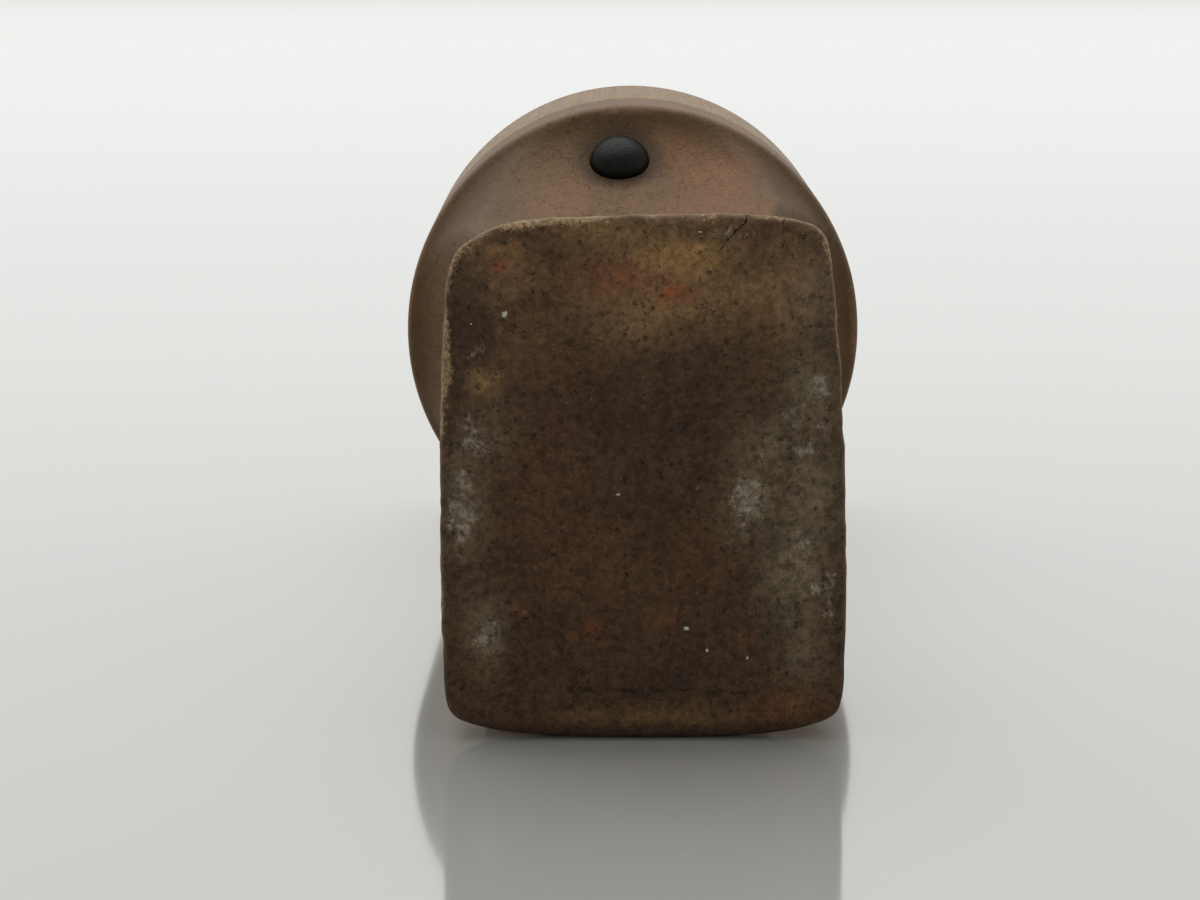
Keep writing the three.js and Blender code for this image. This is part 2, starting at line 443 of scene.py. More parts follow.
# Stains and wear on the head's end, and in DARK painted shade along its lower rounded edge, as soft
# spots:
# (x, z, half width, half height, strength)
VERMILION = [
    (0.90, 5.83, 0.42, 0.26, 1.0),
    (1.30, 5.68, 0.25, 0.20, 0.6),
    (-0.50, 6.23, 0.75, 0.35, 0.45),
    (-4.35, 6.58, 0.28, 0.14, 0.9),
    (-3.80, 6.83, 0.60, 0.35, 0.15),
    (-1.61, -4.47, 0.38, 0.26, 0.5),
    (0.63, -4.16, 0.28, 0.30, 0.35),
    (-3.70, -3.85, 0.35, 0.25, 0.35),
    (4.38, -6.89, 0.80, 0.45, 0.3),
    (3.18, -4.78, 0.30, 0.20, 0.25),
]
OCHRE = [
    (1.10, 6.83, 1.15, 0.55, 1.0),
    (0.20, 5.18, 1.10, 0.55, 0.3),
    (-4.75, 3.10, 0.45, 0.38, 0.9),
    (3.00, 5.68, 0.90, 0.50, 0.45),
    (-4.40, 7.08, 0.70, 0.25, 0.4),
    (-1.20, 7.60, 1.60, 0.30, 0.45),
    (0.30, -7.20, 3.20, 0.30, 0.25),
]
PALE = [
    (0.60, 6.18, 3.20, 1.70, 1.0),
    (-4.10, 6.38, 1.40, 1.10, 0.8),
    (4.20, 5.88, 1.30, 1.70, 0.8),
    (-0.40, 4.98, 1.60, 0.90, 0.8),
    (-3.20, 4.68, 1.60, 1.20, 0.4),
]
RUST = [
    (-1.20, 6.28, 1.60, 0.80, 0.8),
    (-3.00, 0.60, 1.40, 2.00, 0.4),
    (-1.80, -2.13, 1.50, 1.20, 0.5),
    (1.60, -2.53, 1.30, 1.40, 0.4),
    (4.40, -6.60, 1.10, 0.60, 0.6),
    (-2.90, 3.60, 1.20, 0.80, 0.5),
]
HAZE = [
    (4.60, -2.60, 1.00, 2.00, 1.0),
    (4.90, -0.30, 0.90, 1.80, 0.9),
    (3.30, -0.40, 0.90, 1.40, 0.8),
    (4.90, 2.60, 0.90, 1.50, 0.8),
    (3.90, 1.10, 1.20, 1.00, 0.7),
    (4.80, -5.00, 0.80, 1.20, 0.6),
    (-5.30, -0.40, 0.60, 2.00, 0.7),
    (-4.80, -4.50, 0.60, 1.20, 0.7),
    (-4.60, 1.60, 0.80, 1.20, 0.4),
    (5.00, 5.60, 0.70, 1.60, 0.5),
]
BLOOM = [
    (3.05, -0.50, 0.60, 0.90, 0.85),
    (3.60, 0.80, 0.60, 0.60, 0.5),
    (5.05, 2.95, 0.45, 0.60, 0.8),
    (4.98, 1.15, 0.45, 0.30, 0.8),
    (4.38, 2.10, 0.60, 0.70, 0.55),
    (5.30, 1.80, 0.30, 0.60, 0.6),
    (4.60, -1.73, 0.75, 0.90, 0.6),
    (-5.10, 1.40, 0.70, 0.90, 0.6),
    (-5.35, -0.90, 0.50, 1.50, 0.8),
    (-4.75, -4.48, 0.60, 1.00, 0.6),
    (-5.00, 3.80, 0.60, 1.20, 0.35),
    (5.50, -3.43, 0.35, 1.30, 0.55),
    (5.05, -3.13, 0.20, 0.30, 0.7),
    (2.40, 7.50, 1.30, 0.30, 0.45),
]
DARK = [
    (-5.30, 5.08, 0.55, 1.70, 0.9),
    (-0.80, 2.10, 2.60, 1.60, 0.45),
    (2.90, 3.60, 0.16, 0.22, 0.9),
    (2.25, 3.20, 0.30, 0.20, 0.9),
    (1.95, 2.40, 0.30, 0.16, 0.6),
    (2.00, 3.80, 0.80, 0.70, 0.5),
    (-0.70, 4.28, 0.35, 0.22, 0.3),
    (-2.95, 7.03, 0.20, 0.14, 0.8),
    (-3.40, 5.70, 0.12, 0.12, 0.8),
    (-2.30, 1.40, 0.30, 0.30, 0.5),
    (5.50, 4.48, 0.35, 1.50, 0.7),
    (2.60, -4.03, 0.80, 0.25, 0.5),
    (5.80, -0.80, 0.22, 2.00, 0.6),
    # Painted shade along the head's lower rounded edge, which faces down
    (0.00, -8.10, 5.50, 0.45, 1.0),
    (0.80, -6.20, 3.00, 0.30, 0.4),
]

# Places on the flare painted darker as shade, on the flanks beside the ridges and just inside the
# rim, and ruddier places, by the same measures
SHADED = [
    (5.60, 5.80, 0.90, 1.30, 0.8),
    (-5.40, 5.30, 0.90, 1.50, 0.8),
    (-0.80, 8.50, 1.80, 0.45, 0.5),
]
RUDDY = [
    (3.30, 6.70, 1.90, 1.40, 1.0),
    (-2.80, 6.10, 1.40, 0.90, 0.4),
]

# Where the head's edge is worn down to paler wood, in the same way
WORN = [
    (-5.20, 6.90, 1.10, 1.20, 1.15),
    (-3.60, 7.80, 0.90, 0.45, 0.95),
    (-2.00, 7.95, 1.00, 0.45, 0.85),
    (0.30, 7.95, 0.90, 0.40, 0.35),
    (1.80, 7.95, 0.50, 0.40, 0.6),
    (3.90, 7.95, 1.00, 0.40, 0.4),
    (5.20, 7.00, 0.50, 0.90, 0.7),
    (5.75, 4.60, 0.40, 1.80, 0.35),
    (-5.90, 4.50, 0.60, 0.60, 1.0),
    (-5.95, 3.50, 0.60, 1.10, 1.4),
    (-6.05, 1.90, 0.40, 0.60, 0.6),
    (-6.05, -3.50, 0.30, 0.60, 0.5),
]

# Specks of lint on the head's end: (x, z, half size)
LINT = [
    (-4.10, 5.12, 0.085),
    (-5.08, 4.85, 0.03),
    (-0.77, -0.29, 0.045),
    (1.29, -4.41, 0.075),
    (1.92, -5.09, 0.055),
    (3.12, -5.33, 0.05),
    (-4.32, 3.30, 0.03),
    (1.62, 7.55, 0.04),
]


def spots(points, places, seed):
    """Strength of soft spots on the head's end at each point, with ragged outlines."""
    warp = 0.16
    x = points[..., 0] + warp * lumps(points, 0.45, seed)
    z = points[..., 2] + warp * lumps(points, 0.45, seed + 1)
    total = np.zeros(x.shape)
    for centre_x, centre_z, wide, high, strength in places:
        fall = np.exp(-(((x - centre_x) / wide) ** 2) - ((z - centre_z) / high) ** 2)
        total = np.maximum(total, strength * fall)
    return total


def handle_marks(points, angles, cap, ridge, carved):
    """Values that steer the handle's material, one for each point of its surface."""
    along = points[:, 1]
    radius = np.hypot(points[:, 0], points[:, 2])
    below = smoothstep(-0.35, -0.75, np.sin(angles))
    end = np.maximum(smoothstep(0.15, 0.6, cap), below * (along < BOTTOM_EDGE))
    end = np.maximum(end, below * (1 - smoothstep(0.6, 2.2, along)))
    outline = section(np.zeros_like(angles), angles)[0]
    inset = np.where(cap > 0, outline - radius, -along)
    peg = peg_matrix().translation
    from_peg = np.linalg.norm(points - np.array(peg), axis=-1)
    marks = {
        "end": end,
        "inset": np.clip(inset, -2, 2),
        "ridge": ridge * carved * (1 - end),
        # A darker ring round the peg: partly stain, partly painted shade where the peg shades the
        # wood
        "peg_stain_and_shade": np.exp(-((np.clip(from_peg - PEG_RADIUS, 0, None) / 0.8) ** 2)),
        # Painted shade on the steep wall just inside the rim, which faces away from the light
        "wall": smoothstep(RIM - 1.6, RIM - 0.2, radius) * (along > WAIST_PLACE) * (along < GRIP),
        "worn": spots(points, WORN, seed=9) * (along < 2),
    }
    kinds = dict(vermilion=VERMILION, ochre=OCHRE, pale=PALE, rust=RUST)
    kinds.update(haze=HAZE, bloom=BLOOM, dark=DARK)
    for index, (kind, places) in enumerate(kinds.items()):
        marks[kind] = spots(points, places, seed=11 + 2 * index) * end
    behind = (1 - end) * (along > WAIST_PLACE)
    marks["shaded"] = spots(points, SHADED, seed=41) * behind
    marks["ruddy"] = spots(points, RUDDY, seed=43) * behind
    return marks


# The die and the peg


def turned(profile, around):
    """Points and faces of a body turned about y, from a profile that ends on the axis."""
    turn = np.linspace(0, 2 * math.pi, around, endpoint=False)
    rings = [
        np.stack([radius * np.cos(turn), place + 0 * turn, radius * np.sin(turn)], axis=-1)
        for radius, place in profile[1:-1]
    ]
    ends = [np.array([[0, profile[0][1], 0]]), np.array([[0, profile[-1][1], 0]])]
    vertices = np.vstack([ends[0], *rings, ends[1]])
    return vertices, ring_faces(len(rings), around)


def corner(centre, radius, start, end, steps):
    """Points of a round corner in a profile."""
    angles = np.radians(np.linspace(start, end, steps + 1))
    return [(centre[0] + radius * math.cos(a), centre[1] + radius * math.sin(a)) for a in angles]


def leaf_outline(length, width, steps):
    """A pointed leaf lying along x and centred on the origin, as an outline."""
    radius = (length**2 + width**2) / (4 * width)
    drop = radius - width / 2
    sweep = math.asin(length / 2 / radius)
    angles = np.linspace(math.pi / 2 - sweep, math.pi / 2 + sweep, steps + 1)
    upper = np.stack([radius * np.cos(angles), radius * np.sin(angles) - drop], axis=-1)
    return np.vstack([upper[:-1], -upper[:-1]])


def raised_shape(outline, floor, top, inwards):
    """A raised figure with slightly sloping walls and a rounded upper edge."""
    rings = []
    levels = [(floor - FIGURE_ROOT, 0), (floor, 0), (top - FIGURE_ROUND, FIGURE_SLOPE)]
    for a in np.radians([30, 60, 90]):
        place = top - FIGURE_ROUND * (1 - math.sin(a))
        levels.append((place, FIGURE_SLOPE + FIGURE_ROUND * (1 - math.cos(a))))
    for place, inset in levels:
        ring = outline * (1 - inset / inwards)
        rings.append(np.stack([ring[:, 0], place + 0 * ring[:, 0], ring[:, 1]], axis=-1))
    for share in (0.7, 0.4):
        ring = outline * (1 - (FIGURE_SLOPE + FIGURE_ROUND) / inwards) * share
        rings.append(np.stack([ring[:, 0], top + 0 * ring[:, 0], ring[:, 1]], axis=-1))
    middle = outline.mean(axis=0)
    ends = [np.array([[middle[0], place, middle[1]]]) for place in (floor - FIGURE_ROOT, top)]
    vertices = np.vstack([ends[0], *rings, ends[1]])
    return vertices, ring_faces(len(rings), len(outline))


def die_profile(floor, inner):
    """Profile of the die from the end of its spigot to the middle of its cut floor."""
    spigot_end = DIE_START - SPIGOT_LENGTH
    spigot_corner = (SPIGOT_RADIUS - SPIGOT_ROUND, spigot_end + SPIGOT_ROUND)
    wall = np.linspace(DIE_START + 0.6, FACE - 0.6, 14)
    profile = [(0, spigot_end)]
    profile += corner(spigot_corner, SPIGOT_ROUND, -90, 0, 3)
    profile += [(SPIGOT_RADIUS, DIE_START), (RIM - SEAM_BEVEL, DIE_START)]
    profile += [(RIM - SEAM_ROUND, DIE_START + SEAM_ROUND), (RIM, DIE_START + SEAM_BEVEL)]
    profile += [(RIM, place) for place in wall]
    profile += corner((RIM - FACE_ROUND, FACE - FACE_ROUND), FACE_ROUND, 0, 90, 6)
    profile += [(inner + 0.3, FACE)]
    profile += corner((inner + CUT_ROUND, FACE - CUT_ROUND), CUT_ROUND, 90, 180, 3)
    profile += [(inner - CUT_SLOPE, floor + 0.05), (inner - 2 * CUT_SLOPE, floor)]
    profile += [(inner * share, floor) for share in (0.8, 0.6, 0.4, 0.2)]
    return profile + [(0, floor)]


def carved_figures(floor, inner):
    """The boss in the middle of the face and the petals round it."""
    circle = np.linspace(0, 2 * math.pi, 64, endpoint=False)
    boss = BOSS * np.stack([np.cos(circle), np.sin(circle)], axis=-1)
    figures = [raised_shape(boss, floor, FACE, BOSS)]
    start = BOSS + PETAL_MARGIN
    length = inner - PETAL_MARGIN - start
    leaf = leaf_outline(length, PETAL_WIDTH, 24)
    for index in range(PETALS):
        vertices, faces = raised_shape(leaf, floor, FACE, PETAL_WIDTH / 2)
        vertices[:, 0] += start + length / 2
        turn = Matrix.Rotation(2 * math.pi * index / PETALS, 3, "Y")
        figures.append((vertices @ np.array(turn).T, faces))
    return figures


def build_die():
    floor = FACE - CARVING
    inner = RIM - BORDER
    body = turned(die_profile(floor, inner), 288)
    vertices, faces = joined([body] + carved_figures(floor, inner))
    worn = 0.012 * (1 + lumps(vertices, 1.1, 21))
    vertices[:, 1] -= np.where(vertices[:, 1] > FACE - 0.05, worn, 0)
    reach = np.hypot(vertices[:, 0], vertices[:, 2])
    marks = {
        "face": smoothstep(FACE - 1.6, FACE - 0.2, vertices[:, 1]),
        "hollow": smoothstep(FACE - 0.1, floor, vertices[:, 1]) * (reach < inner + 0.1),
    }
    return add_piece("boxwood_die", vertices, faces, marks)


def joined(parts):
    """Several bodies as one list of points and one of faces."""
    vertices, faces, count = [], [], 0
    for part_vertices, part_faces in parts:
        vertices.append(part_vertices)
        faces += [[index + count for index in face] for face in part_faces]
        count += len(part_vertices)
    return np.vstack(vertices), faces


def build_peg():
    profile = [(0, -PEG_LENGTH), (PEG_RADIUS - 0.1, -PEG_LENGTH), (PEG_RADIUS, -PEG_LENGTH + 0.1)]
    profile += [(PEG_RADIUS, place) for place in (-1.6, -0.8, -0.2)]
    for a in np.radians(np.linspace(0, 84, 13)):
        profile.append((PEG_RADIUS * math.cos(a), PEG_STAND_OFF + PEG_DOME * math.sin(a)))
    profile.append((0, PEG_STAND_OFF + PEG_DOME))
    vertices, faces = turned(profile, 72)
    worn = vertices[:, 1] > -0.1
    vertices[:, 1] -= np.where(worn, 0.02 * (1 + lumps(vertices, 0.6, 31)), 0)
    return add_piece("horn_peg", vertices, faces, matrix=peg_matrix())


def cut_peg_hole(handle):
    """Bores the hole that the peg sits in."""
    bottom = -PEG_LENGTH - 0.25
    bore_radius = PEG_RADIUS + PEG_GAP
    profile = [(0, bottom), (bore_radius, bottom), (bore_radius, 2.2), (0, 2.2)]
    vertices, faces = turned(profile, 72)
    cutter = add_piece("peg_hole_cutter", vertices, faces, matrix=peg_matrix())
    bore = handle.modifiers.new("peg hole", "BOOLEAN")
    bore.operation = "DIFFERENCE"
    bore.solver = "EXACT"
    bore.object = cutter
    depsgraph = bpy.context.evaluated_depsgraph_get()
    cut = bpy.data.meshes.new_from_object(handle.evaluated_get(depsgraph))
    handle.modifiers.clear()
    handle.data = cut
    bpy.data.objects.remove(cutter)


# Materials


def tone(red, green, blue):
    """A colour as seen on screen, 0 to 255, as the values a shader takes."""
    shares = [value / 255 for value in (red, green, blue)]
    straight = [s / 12.92 if s <= 0.04045 else ((s + 0.055) / 1.055) ** 2.4 for s in shares]
    return (*straight, 1)


class Nodes:
    """Short calls for the nodes of a material or of the world."""

    def __init__(self, tree):
        self.tree = tree

    def add(self, kind, inputs=(), **settings):
        node = self.tree.nodes.new(kind)
        for name, value in settings.items():
            setattr(node, name, value)
        for key, value in dict(inputs).items():
            self.feed(node.inputs[key], value)
        return node

    def feed(self, socket, value):
        if isinstance(value, bpy.types.NodeSocket):
            self.tree.links.new(value, socket)
        else:
            socket.default_value = value

    def seal_place(self):
        """Place in the seal's own frame, in millimetres."""
        turn = Matrix.Rotation(-LEAN, 3, "X")
        inputs = {
            "Vector": self.add("ShaderNodeTexCoord").outputs["Object"],
            "Location": -(turn @ head_place()),
            "Rotation": (-LEAN, 0, 0),
            "Scale": (1000, 1000, 1000),
        }
        return self.add("ShaderNodeMapping", inputs).outputs["Vector"]

    def stretched(self, place, scale):
        inputs = {0: place, 1: scale}
        return self.add("ShaderNodeVectorMath", inputs, operation="MULTIPLY").outputs[0]

    def noise(self, place, scale, detail=3, roughness=0.55, distortion=0):
        inputs = {0: place, 1: NOISE_START}
        shifted = self.add("ShaderNodeVectorMath", inputs, operation="ADD").outputs[0]
        inputs = {
            "Vector": shifted,
            "Scale": scale,
            "Detail": detail,
            "Roughness": roughness,
            "Distortion": distortion,
        }
        return self.add("ShaderNodeTexNoise", inputs).outputs["Fac"]

    def warped(self, place, scale, amount):
        """Places pushed about by noise."""
        inputs = {"Vector": place, "Scale": scale, "Detail": 2}
        push = self.add("ShaderNodeTexNoise", inputs).outputs["Color"]
        push = self.add("ShaderNodeVectorMath", {0: push, 1: (0.5, 0.5, 0.5)}, operation="SUBTRACT")
        inputs = {0: push.outputs[0], "Scale": amount}
        push = self.add("ShaderNodeVectorMath", inputs, operation="SCALE").outputs[0]
        return self.add("ShaderNodeVectorMath", {0: place, 1: push}, operation="ADD").outputs[0]

    def mark(self, name):
        return self.add("ShaderNodeAttribute", attribute_name=name).outputs["Fac"]

    def math(self, operation, first, second=0.0, clamp=False):
        inputs = {0: first, 1: second}
        return self.add("ShaderNodeMath", inputs, operation=operation, use_clamp=clamp).outputs[0]

    def total(self, *weighted):
        """Sum of (value, weight) pairs."""
        result = 0.0
        for value, weight in weighted:
            inputs = {0: value, 1: weight, 2: result}
            result = self.add("ShaderNodeMath", inputs, operation="MULTIPLY_ADD").outputs[0]
        return result

    def soft(self, name, noise, most):
        """A mark broken up by noise, up to a given share."""
        return self.math("MULTIPLY", self.mark(name), self.ramp(noise, 0.28, 0.62, most * 0.35, most))

    def ramp(self, value, low, high, to_low=0.0, to_high=1.0):
        inputs = {"Value": value, "From Min": low, "From Max": high}
        inputs.update({"To Min": to_low, "To Max": to_high})
        return self.add("ShaderNodeMapRange", inputs, interpolation_type="SMOOTHSTEP").outputs[0]

    def mix(self, share, first, second):
        inputs = {"Factor": share, "A": first, "B": second}
        node = self.add("ShaderNodeMix", data_type="RGBA")
        for key, value in inputs.items():
            sockets = [s for s in node.inputs if s.name == key and s.enabled]
            self.feed(sockets[0], value)
        return [s for s in node.outputs if s.enabled][0]

    def shade(self, colour, factor):
        inputs = {0: colour, "Scale": factor}
        return self.add("ShaderNodeVectorMath", inputs, operation="SCALE").outputs[0]

    def bump(self, height, distance, strength=1.0):
        inputs = {"Height": height, "Distance": distance, "Strength": strength}
        return self.add("ShaderNodeBump", inputs).outputs["Normal"]


class Shader(Nodes):
    """A material with one Principled shader."""

    def __init__(self, name):
        self.material = bpy.data.materials.new(name)
        self.material.use_nodes = True
        super().__init__(self.material.node_tree)
        self.surface = self.tree.nodes["Principled BSDF"]

    def finish(self, **sockets):
        for name, value in sockets.items():
            self.feed(self.surface.inputs[name.replace("_", " ")], value)
        return self.material


def crack(shader, place, start, end, width):
    """How deep in a thin wavering crack between two points (x, z) each place is."""
    sway = 0.5
    parts = shader.add("ShaderNodeSeparateXYZ", {0: place})
    x, y, z = parts.outputs
    length = math.hypot(end[0] - start[0], end[1] - start[1])
    ahead = ((end[0] - start[0]) / length, (end[1] - start[1]) / length)
    run = shader.total((x, ahead[0]), (z, ahead[1]))
    run = shader.math("SUBTRACT", run, start[0] * ahead[0] + start[1] * ahead[1])
    waver = shader.noise(place, 2.6, 4, 0.7)
    aside = shader.total((x, -ahead[1]), (z, ahead[0]), (waver, sway))
    middle = -start[0] * ahead[1] + start[1] * ahead[0] + sway / 2
    aside = shader.math("ABSOLUTE", shader.math("SUBTRACT", aside, middle))
    half = shader.ramp(run, 0, length, width, width * 0.3)
    inside = shader.ramp(shader.math("SUBTRACT", aside, half), width * 0.5, -width * 0.3)
    ends = shader.math("MULTIPLY", shader.ramp(run, -0.3, 0), shader.ramp(run, length, length - 0.3))
    near = shader.math("MULTIPLY", ends, shader.ramp(y, 1.4, 0.7))
    return shader.math("MULTIPLY", inside, near)


def lint(shader, place):
    """How deep in one of the specks of lint each place is."""
    flat = shader.stretched(shader.warped(place, 6.0, 0.16), (1, 0, 1))
    total = 0.0
    for x, z, size in LINT:
        inputs = {0: flat, 1: (x, 0, z)}
        away = shader.add("ShaderNodeVectorMath", inputs, operation="DISTANCE").outputs["Value"]
        total = shader.math("MAXIMUM", total, shader.ramp(away, size * 1.3, size * 0.6))
    return shader.math("MULTIPLY", total, shader.mark("end"))


def specks(shader, place, scale, size, share):
    """How deep in a small ragged speck of the head's end each place is: a share of the
    cells, so many to the millimetre, holds one of this size."""
    warped = shader.warped(place, scale * 2.5, 0.9 / scale)
    parts = shader.add("ShaderNodeSeparateXYZ", {0: warped}).outputs
    flat = shader.add("ShaderNodeCombineXYZ", {0: parts[0], 1: parts[2]}).outputs[0]
    inputs = {"Vector": flat, "Scale": scale}
    cells = shader.add("ShaderNodeTexVoronoi", inputs, voronoi_dimensions="2D")
    chance = shader.add("ShaderNodeSeparateXYZ", {0: cells.outputs["Color"]}).outputs[0]
    inside = shader.ramp(cells.outputs["Distance"], size, size * 0.5)
    chosen = shader.math("MULTIPLY", shader.mark("end"), shader.ramp(chance, 1 - share, 1.02 - share))
    return shader.math("MULTIPLY", inside, chosen)


def handle_noises(s, place):
    """The noises that the handle's colour, roughness and relief share."""
    return SimpleNamespace(
        fine=s.noise(place, 8.0, 4, 0.75),
        fleck=s.noise(place, 5.0, 6, 0.85),
        small=s.noise(place, 3.0, 4, 0.65),
        flake=s.noise(place, 1.9, 8, 0.82, 0.6),
        middling=s.noise(place, 1.1, 4, 0.6),
        broad=s.noise(place, 0.28, 3, 0.55),
        grain=s.noise(s.stretched(place, (3.0, 0.14, 3.0)), 1.0, 6, 0.62, 0.5),
        pores=s.noise(s.stretched(place, (11, 0.9, 11)), 1.0, 2, 0.5),
    )


def carved_wood(s, place, noise):
    """Colour of the carved sides: satin brown wood with long grain, with painted shade on the flare's
    flanks and on the wall inside the rim, and a stained, painted-shade ring round the peg.
    """
    wood = s.mix(s.ramp(noise.grain, 0.34, 0.66), tone(103, 79, 53), tone(116, 90, 61))
    wood = s.mix(s.ramp(noise.broad, 0.42, 0.66, 0, 0.5), wood, tone(130, 93, 66))
    wood = s.mix(s.ramp(noise.middling, 0.58, 0.75, 0, 0.25), wood, tone(90, 70, 49))
    wood = s.mix(s.soft("ruddy", noise.middling, 0.75), wood, tone(140, 96, 66))
    # painted shade on the flare's flanks and just inside the rim
    wood = s.mix(s.soft("shaded", noise.middling, 0.6), wood, tone(80, 64, 48))
    wood = s.mix(s.ramp(noise.pores, 0.58, 0.70, 0, 0.45), wood, tone(66, 50, 36))
    wood = s.shade(wood, s.ramp(s.noise(place, 6.0, 5, 0.8), 0.32, 0.68, 0.86, 1.14))
    # painted shade on the steep wall just inside the rim
    wood = s.mix(s.math("MULTIPLY", s.mark("wall"), 0.6), wood, tone(78, 60, 40))
    # darker ring round the peg: partly stain, partly painted shade
    wood = s.mix(s.ramp(s.mark("peg_stain_and_shade"), 0.15, 1.0, 0, 0.75), wood, tone(58, 44, 33))
    worn_ridge = s.math("MULTIPLY", s.mark("ridge"), s.ramp(noise.small, 0.35, 0.6))
    return s.mix(s.math("MULTIPLY", worn_ridge, 0.25), wood, tone(124, 100, 76))


def end_grain(s, noise):
    """Colour of the head's end: dark, and paler and ruddier in places."""
    mottle = s.total((noise.small, 0.55), (noise.middling, 0.45))
    end = s.mix(s.ramp(mottle, 0.38, 0.60), tone(64, 48, 35), tone(84, 61, 43))
    end = s.mix(s.soft("pale", mottle, 1.0), end, tone(134, 104, 73))
    end = s.mix(s.soft("rust", noise.small, 0.7), end, tone(112, 72, 46))
    end = s.mix(s.soft("ochre", noise.small, 0.95), end, tone(164, 126, 80))
    # dark stains, and painted shade along the head's lower edge
    end = s.mix(s.soft("dark", noise.small, 0.75), end, tone(58, 48, 42))
    return s.mix(s.soft("vermilion", noise.small, 0.8), end, tone(146, 74, 46))


def grey_bloom(s, noise):
    """How thickly dry grey bloom lies on each place."""
    patchy = s.total((noise.flake, 3.2), (s.mark("bloom"), 1.1))
    bloom = s.math("MULTIPLY", s.ramp(patchy, 2.05, 2.45), s.ramp(s.mark("bloom"), 0.04, 0.4))
    return s.math("MULTIPLY", bloom, s.ramp(noise.fleck, 0.38, 0.60, 0.2, 0.85))


def handled(s, noise, end, bloom):
    """Colour of the head's end under bloom and handling dirt."""
    end = s.mix(s.soft("haze", noise.small, 1.0), end, tone(124, 110, 88))
    end = s.mix(bloom, end, tone(150, 139, 124))
    end = s.shade(end, s.ramp(noise.fleck, 0.34, 0.66, 0.66, 1.34))
    end = s.mix(s.ramp(noise.fine, 0.40, 0.30, 0, 0.6), end, tone(34, 25, 18))
    return s.mix(s.ramp(noise.fine, 0.60, 0.72, 0, 0.30), end, tone(136, 110, 82))


def end_flaws(s, place, noise):
    """Masks of the hairline shakes, pits, pale flecks and long seam of the head's end."""
    shakes = s.noise(s.warped(place, 1.5, 0.6), 1.4, 4, 0.6)
    shakes = s.math("ABSOLUTE", s.math("SUBTRACT", shakes, 0.5))
    shakes = s.math("MULTIPLY", s.ramp(shakes, 0.010, 0.002), s.ramp(noise.flake, 0.50, 0.60, 0, 0.7))
    seam = crack(s, place, (-1.8, -6.32), (3.3, -6.42), 0.06)
    seam = s.math("MULTIPLY", seam, s.ramp(s.noise(place, 1.7, 2), 0.40, 0.60, 0, 0.7))
    pits = specks(s, place, 3.7, 0.24, 0.14)
    flecks = specks(s, place, 3.1, 0.19, 0.08)
    return SimpleNamespace(shakes=shakes, pits=pits, flecks=flecks, seam=seam)


def flawed(s, end, flaws):
    """Colour of the head's end with its flaws."""
    end = s.mix(flaws.shakes, end, tone(30, 22, 16))
    end = s.mix(s.math("MULTIPLY", flaws.pits, 0.4), end, tone(34, 25, 18))
    end = s.mix(s.math("MULTIPLY", flaws.flecks, 0.35), end, tone(142, 118, 92))
    return s.mix(flaws.seam, end, tone(26, 18, 12))


def bare_edge(s, noise):
    """Where the head's edge is worn to paler wood, in a thin ragged line."""
    ragged = s.total((s.mark("inset"), 1.0), (noise.fleck, -1.3), (s.mark("worn"), -0.45))
    bare = s.math("MULTIPLY", s.ramp(ragged, -0.68, -0.84), s.ramp(s.mark("worn"), 0.05, 0.40))
    return s.math("MULTIPLY", bare, s.ramp(s.mark("inset"), -0.9, -0.2))


def handle_material():
    s = Shader("old handle wood")
    place = s.seal_place()
    noise = handle_noises(s, place)
    bloom = grey_bloom(s, noise)
    flaws = end_flaws(s, place, noise)
    split = crack(s, place, (3.05, 8.02), (2.05, 6.90), 0.020)
    dust = lint(s, place)

    end = flawed(s, handled(s, noise, end_grain(s, noise), bloom), flaws)
    colour = s.mix(s.mark("end"), carved_wood(s, place, noise), end)
    paler = s.mix(s.ramp(noise.fine, 0.35, 0.65), tone(104, 80, 52), tone(178, 150, 114))
    colour = s.mix(s.math("MULTIPLY", bare_edge(s, noise), 0.85), colour, paler)
    colour = s.mix(split, colour, tone(16, 11, 8))
    colour = s.mix(dust, colour, tone(215, 208, 196))

    rough = s.total((noise.fine, 0.22), (noise.grain, 0.15), (s.mark("end"), 0.22), (bloom, 0.15))
    height = s.total(
        (noise.grain, 0.5), (noise.fine, 0.5), (noise.small, 0.5), (noise.pores, -0.25),
        (split, -2.5), (flaws.seam, -0.8), (dust, 1.0),
        (flaws.shakes, -0.6), (flaws.pits, -0.8), (flaws.flecks, 0.4),
    )
    return s.finish(
        Base_Color=colour,
        Roughness=s.math("ADD", rough, 0.28),
        Specular_IOR_Level=0.15,
        Normal=s.bump(height, 0.00006),
    )


def die_material():
    s = Shader("aged boxwood")
    place = s.seal_place()
    grain = s.noise(s.stretched(place, (3.6, 0.12, 3.6)), 1.0, 6, 0.66, 0.4)
    fine = s.noise(place, 6.0, 3, 0.65)
    broad = s.noise(place, 0.35, 3)
    wood = s.mix(s.ramp(grain, 0.30, 0.72), tone(122, 95, 64), tone(146, 118, 82))
    wood = s.mix(s.ramp(broad, 0.45, 0.7, 0, 0.5), wood, tone(132, 98, 68))
    wood = s.mix(s.ramp(fine, 0.58, 0.72, 0, 0.4), wood, tone(92, 70, 48))
    patchy = s.total((s.noise(place, 1.6, 6, 0.8), 1.6), (s.mark("face"), 0.8))
    inked = s.ramp(patchy, 1.25, 1.70, 0, 0.92)
    ink = s.mix(s.ramp(fine, 0.35, 0.65), tone(92, 34, 24), tone(126, 50, 34))
    wood = s.mix(s.math("MULTIPLY", inked, s.ramp(s.mark("face"), 0, 0.2)), wood, ink)
    wood = s.mix(s.math("MULTIPLY", s.mark("hollow"), 0.8), wood, tone(66, 28, 22))
    return s.finish(
        Base_Color=wood,
        Roughness=s.ramp(fine, 0.3, 0.7, 0.36, 0.55),
        Specular_IOR_Level=0.25,
        Normal=s.bump(s.total((grain, 0.6), (fine, 0.3)), 0.00004),
    )


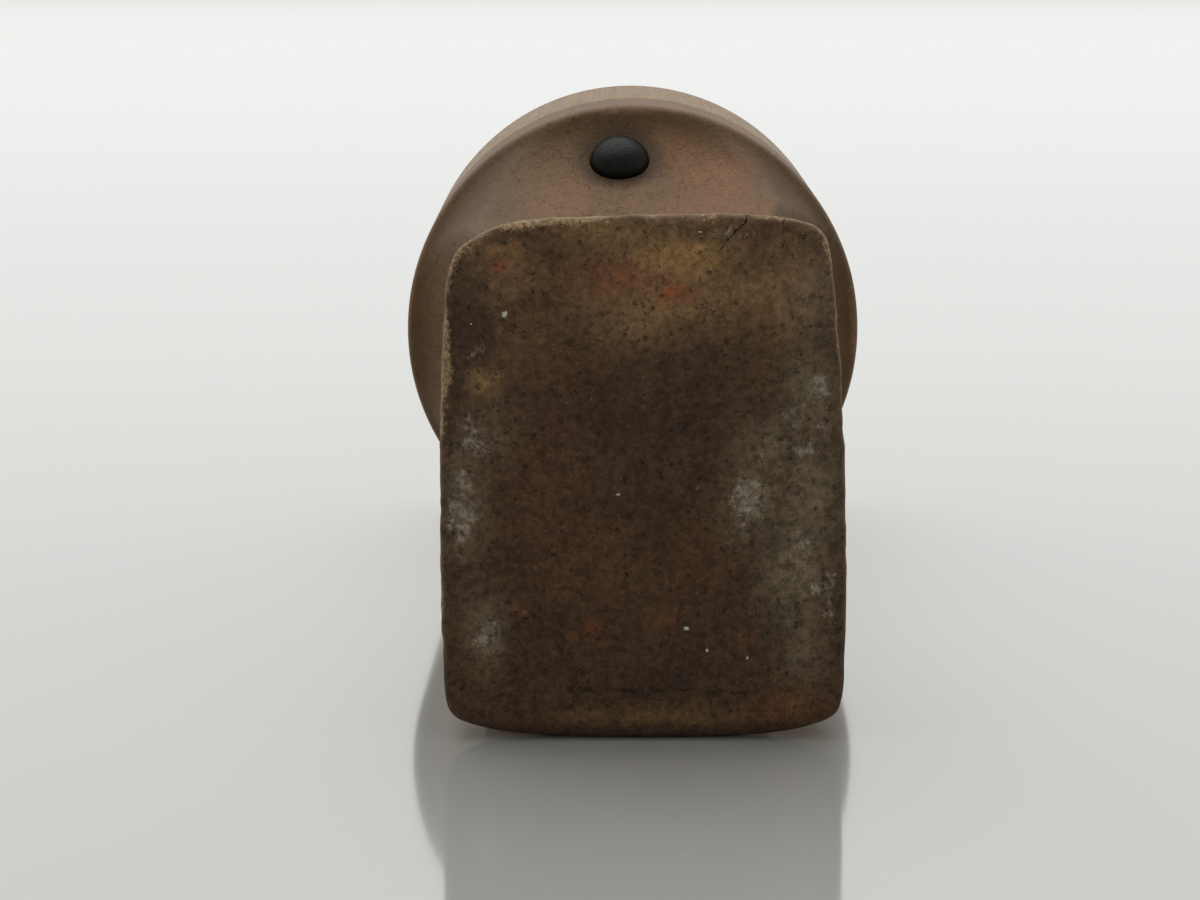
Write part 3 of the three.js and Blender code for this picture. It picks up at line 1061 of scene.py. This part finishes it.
def peg_material():
    s = Shader("black horn")
    place = s.seal_place()
    streaks = s.noise(s.stretched(place, (4.0, 1.2, 4.0)), 1.0, 4, 0.6, 0.8)
    fine = s.noise(place, 12.0, 2)
    horn = s.mix(s.ramp(streaks, 0.4, 0.7), tone(8, 9, 7), tone(24, 25, 21))
    return s.finish(
        Base_Color=horn,
        Roughness=s.ramp(fine, 0.3, 0.7, 0.32, 0.46),
        Specular_IOR_Level=0.14,
        Normal=s.bump(fine, 0.00002),
    )


# Stage


def build_floor():
    mesh = bpy.data.meshes.new("table")
    half = 9.0
    corners = [(-half, -half, 0), (half, -half, 0), (half, half, 0), (-half, half, 0)]
    mesh.from_pydata(corners, [], [(0, 1, 2, 3)])
    floor = bpy.data.objects.new("table", mesh)
    bpy.context.scene.collection.objects.link(floor)
    s = Shader("white table top")
    mesh.materials.append(
        s.finish(
            Base_Color=(0.46, 0.465, 0.45, 1),
            Roughness=0.10,
            IOR=1.8,
            Coat_Weight=1.0,
            Coat_Roughness=0.06,
            Coat_IOR=1.6,
        )
    )


def build_world():
    """Even light, dimmer from the front and brightest low down at the back."""
    world = bpy.data.worlds.new("studio")
    bpy.context.scene.world = world
    world.use_nodes = True
    world.node_tree.nodes.clear()
    s = Nodes(world.node_tree)
    direction = s.add("ShaderNodeTexCoord").outputs["Generated"]
    parts = s.add("ShaderNodeSeparateXYZ", {0: direction}).outputs
    y, z = parts["Y"], parts["Z"]
    back = s.ramp(y, -0.6, 0.6, 0.55, 0.85)
    low = s.ramp(z, 0.24, 0.04, 0, 0.04)
    strength = s.math("ADD", back, s.math("MULTIPLY", low, s.ramp(y, 0, 0.6)))
    inputs = {"Color": (0.99, 1.0, 0.975, 1), "Strength": strength}
    sky = s.add("ShaderNodeBackground", inputs).outputs[0]
    s.add("ShaderNodeOutputWorld", {"Surface": sky})


def add_lamp(name, place, aim, size, power):
    lamp = bpy.data.lights.new(name, "AREA")
    lamp.shape = "RECTANGLE"
    lamp.size, lamp.size_y = size
    lamp.energy = power
    holder = bpy.data.objects.new(name, lamp)
    holder.location = place
    holder.rotation_euler = (Vector(aim) - Vector(place)).to_track_quat("-Z", "Y").to_euler()
    bpy.context.scene.collection.objects.link(holder)


def build_camera():
    camera = bpy.data.cameras.new("camera")
    camera.lens = CAMERA_LENS
    camera.sensor_width = CAMERA_SENSOR
    camera.clip_start = 0.005
    camera.clip_end = 20
    holder = bpy.data.objects.new("camera", camera)
    holder.location = CAMERA_PLACE
    holder.rotation_euler = (math.pi / 2 - CAMERA_PITCH, 0, 0)
    bpy.context.scene.collection.objects.link(holder)
    bpy.context.scene.camera = holder


def dress(piece, node, material):
    """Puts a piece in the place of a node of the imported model."""
    piece.data.materials.clear()
    piece.data.materials.append(material)
    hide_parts(node)
    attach(piece, "root")


build_camera()
build_floor()
build_world()
add_lamp("overhead light", place=(-0.05, 0.12, 0.45), aim=(0, 0, 0), size=(0.5, 0.4), power=1.1)
bpy.context.scene.view_settings.view_transform = "Standard"

handle = build_handle()
cut_peg_hole(handle)
dress(handle, "handle", handle_material())
dress(build_die(), "seal_die", die_material())
dress(build_peg(), "orientation_peg", peg_material())

bpy.context.view_layer.update()
